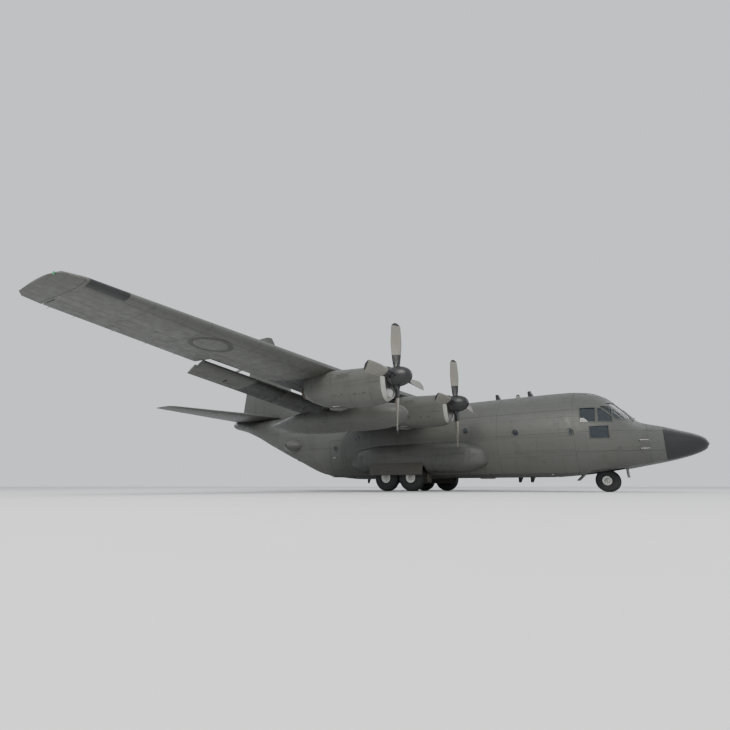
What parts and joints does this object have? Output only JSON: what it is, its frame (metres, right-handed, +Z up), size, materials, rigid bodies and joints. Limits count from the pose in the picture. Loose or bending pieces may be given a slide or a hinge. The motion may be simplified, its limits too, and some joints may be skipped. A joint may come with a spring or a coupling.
{
  "type": "military transport plane, 1:2 scale model",
  "caption": "High-wing turboprop transport standing on its wheels, with a raised cargo door, half-down flaps and turning propellers.",
  "frame": {"origin": "middle of the length and span, on the ground under the wheels", "axes": "+X to the nose, +Y to the left wing, +Z up"},
  "size_m": [14.895, 20.205, 5.83],
  "materials": {
    "grey_paint": "matt grey paint on aluminium alloy",
    "black_paint": "matt black rain-erosion coat",
    "glazing": "clear, dark from outside",
    "interior": "grey-green interior paint",
    "engine_steel": "dull steel",
    "propeller": "satin black",
    "gear_steel": "gloss white paint on steel",
    "wheel_rim": "gloss white paint",
    "tyre": "matt black rubber"
  },
  "bodies": {
    "airframe": {"radome": "black_paint", "fuselage_forward": "grey_paint", "cockpit_glazing": "glazing", "flight_deck": "interior", "wing_centre": "grey_paint", "fuselage_centre": "grey_paint", "side_door_left": "grey_paint", "side_door_right": "grey_paint", "cargo_floor": "interior", "fuselage_aft": "grey_paint", "wing_outer_left": "grey_paint", "wing_outer_right": "grey_paint", "tailplane": "grey_paint", "fin": "grey_paint", "nacelle_1": "grey_paint", "nacelle_2": "grey_paint", "nacelle_3": "grey_paint", "nacelle_4": "grey_paint", "engine_1": "engine_steel", "engine_2": "engine_steel", "engine_3": "engine_steel", "engine_4": "engine_steel", "tank_left": "grey_paint", "tank_right": "grey_paint", "sponson_left": "grey_paint", "sponson_right": "grey_paint", "main_leg_left": "gear_steel", "main_leg_right": "gear_steel", "main_door_inner_left": "grey_paint", "main_door_outer_left": "grey_paint", "main_door_inner_right": "grey_paint", "main_door_outer_right": "grey_paint", "nose_leg": "gear_steel", "nose_door_front": "grey_paint", "nose_door_rear": "grey_paint"},
    "propeller_1": {"propeller_1": "propeller"},
    "propeller_2": {"propeller_2": "propeller"},
    "propeller_3": {"propeller_3": "propeller"},
    "propeller_4": {"propeller_4": "propeller"},
    "wheel_front_left": {"main_tyre_front_left": "tyre", "main_rim_front_left": "wheel_rim"},
    "wheel_rear_left": {"main_tyre_rear_left": "tyre", "main_rim_rear_left": "wheel_rim"},
    "wheel_front_right": {"main_tyre_front_right": "tyre", "main_rim_front_right": "wheel_rim"},
    "wheel_rear_right": {"main_tyre_rear_right": "tyre", "main_rim_rear_right": "wheel_rim"},
    "nose_steering": {"nose_fork": "gear_steel"},
    "nose_wheels": {"nose_wheels": "tyre"},
    "aileron_left": {"aileron_left": "grey_paint"},
    "aileron_right": {"aileron_right": "grey_paint"},
    "elevator": {"elevator": "grey_paint"},
    "rudder": {"rudder": "grey_paint"},
    "flap_inner_left": {"flap_inner_left": "grey_paint"},
    "flap_outer_left": {"flap_outer_left": "grey_paint"},
    "flap_inner_right": {"flap_inner_right": "grey_paint"},
    "flap_outer_right": {"flap_outer_right": "grey_paint"},
    "ramp": {"ramp": "grey_paint"},
    "cargo_door": {"cargo_door": "grey_paint"},
    "crew_door": {"crew_door": "grey_paint"}
  },
  "joints": [
    {"name": "propeller_1_spin", "type": "hinge", "parent": "airframe", "child": "propeller_1", "pos_m": [2.8875, 5.1, 2.04], "axis": [1, 0, 0], "continuous": true},
    {"name": "propeller_2_spin", "type": "hinge", "parent": "airframe", "child": "propeller_2", "pos_m": [2.8875, 2.5, 1.925], "axis": [1, 0, 0], "continuous": true},
    {"name": "propeller_3_spin", "type": "hinge", "parent": "airframe", "child": "propeller_3", "pos_m": [2.8875, -2.5, 1.925], "axis": [1, 0, 0], "continuous": true},
    {"name": "propeller_4_spin", "type": "hinge", "parent": "airframe", "child": "propeller_4", "pos_m": [2.8875, -5.1, 2.04], "axis": [1, 0, 0], "continuous": true},
    {"name": "wheel_front_left_spin", "type": "hinge", "parent": "airframe", "child": "wheel_front_left", "pos_m": [0.9525, 1.0875, 0.355], "axis": [0, 1, 0], "continuous": true},
    {"name": "wheel_rear_left_spin", "type": "hinge", "parent": "airframe", "child": "wheel_rear_left", "pos_m": [0.1925, 1.0875, 0.355], "axis": [0, 1, 0], "continuous": true},
    {"name": "wheel_front_right_spin", "type": "hinge", "parent": "airframe", "child": "wheel_front_right", "pos_m": [0.9525, -1.0875, 0.355], "axis": [0, 1, 0], "continuous": true},
    {"name": "wheel_rear_right_spin", "type": "hinge", "parent": "airframe", "child": "wheel_rear_right", "pos_m": [0.1925, -1.0875, 0.355], "axis": [0, 1, 0], "continuous": true},
    {"name": "nose_steer", "type": "hinge", "parent": "airframe", "child": "nose_steering", "pos_m": [5.4575, 0, 0.43], "axis": [0, 0, 1], "range_deg": [-60, 60]},
    {"name": "nose_wheels_spin", "type": "hinge", "parent": "nose_steering", "child": "nose_wheels", "pos_m": [5.4575, 0, 0.2475], "axis": [0, 1, 0], "continuous": true},
    {"name": "aileron_left_hinge", "type": "hinge", "parent": "airframe", "child": "aileron_left", "pos_m": [0.1075, 7.08, 2.42697], "axis": [0.1042, 0.9934, 0.0484], "range_deg": [-15, 25]},
    {"name": "aileron_right_hinge", "type": "hinge", "parent": "airframe", "child": "aileron_right", "pos_m": [0.1075, -7.08, 2.42697], "axis": [-0.1042, 0.9934, -0.0484], "range_deg": [-15, 25]},
    {"name": "elevator_hinge", "type": "hinge", "parent": "airframe", "child": "elevator", "pos_m": [-6.3525, 0, 2.515], "axis": [0, -1, 0], "range_deg": [-40, 15]},
    {"name": "rudder_hinge", "type": "hinge", "parent": "airframe", "child": "rudder", "pos_m": [-6.3625, 0, 2.81], "axis": [0.0405, 0, 0.9992], "range_deg": [-35, 35]},
    {"name": "flap_inner_left_track", "type": "hinge", "parent": "airframe", "child": "flap_inner_left", "pos_m": [-0.2675, 1.14, 1.25182], "axis": [0, -1, -0.0002], "range_deg": [-17, 18]},
    {"name": "flap_outer_left_track", "type": "hinge", "parent": "airframe", "child": "flap_outer_left", "pos_m": [-0.26651, 2.81, 1.2527], "axis": [-0.0984, -0.9935, -0.0579], "range_deg": [-17, 18]},
    {"name": "flap_inner_right_track", "type": "hinge", "parent": "airframe", "child": "flap_inner_right", "pos_m": [-0.2675, -1.14, 1.25182], "axis": [0, -1, 0.0002], "range_deg": [-17, 18]},
    {"name": "flap_outer_right_track", "type": "hinge", "parent": "airframe", "child": "flap_outer_right", "pos_m": [-0.26651, -2.81, 1.2527], "axis": [0.0984, -0.9935, 0.0579], "range_deg": [-17, 18]},
    {"name": "ramp_hinge", "type": "hinge", "parent": "airframe", "child": "ramp", "pos_m": [-1.9525, 0, 0.4175], "axis": [0, -1, 0], "range_deg": [0, 34]},
    {"name": "cargo_door_hinge", "type": "hinge", "parent": "airframe", "child": "cargo_door", "pos_m": [-5.45, 0, 1.865], "axis": [0, 1, 0], "range_deg": [0, 25.5]},
    {"name": "crew_door_hinge", "type": "hinge", "parent": "airframe", "child": "crew_door", "pos_m": [4.5975, 0.8725, 0.5635], "axis": [-1, 0, 0], "range_deg": [0, 115]}
  ]
}
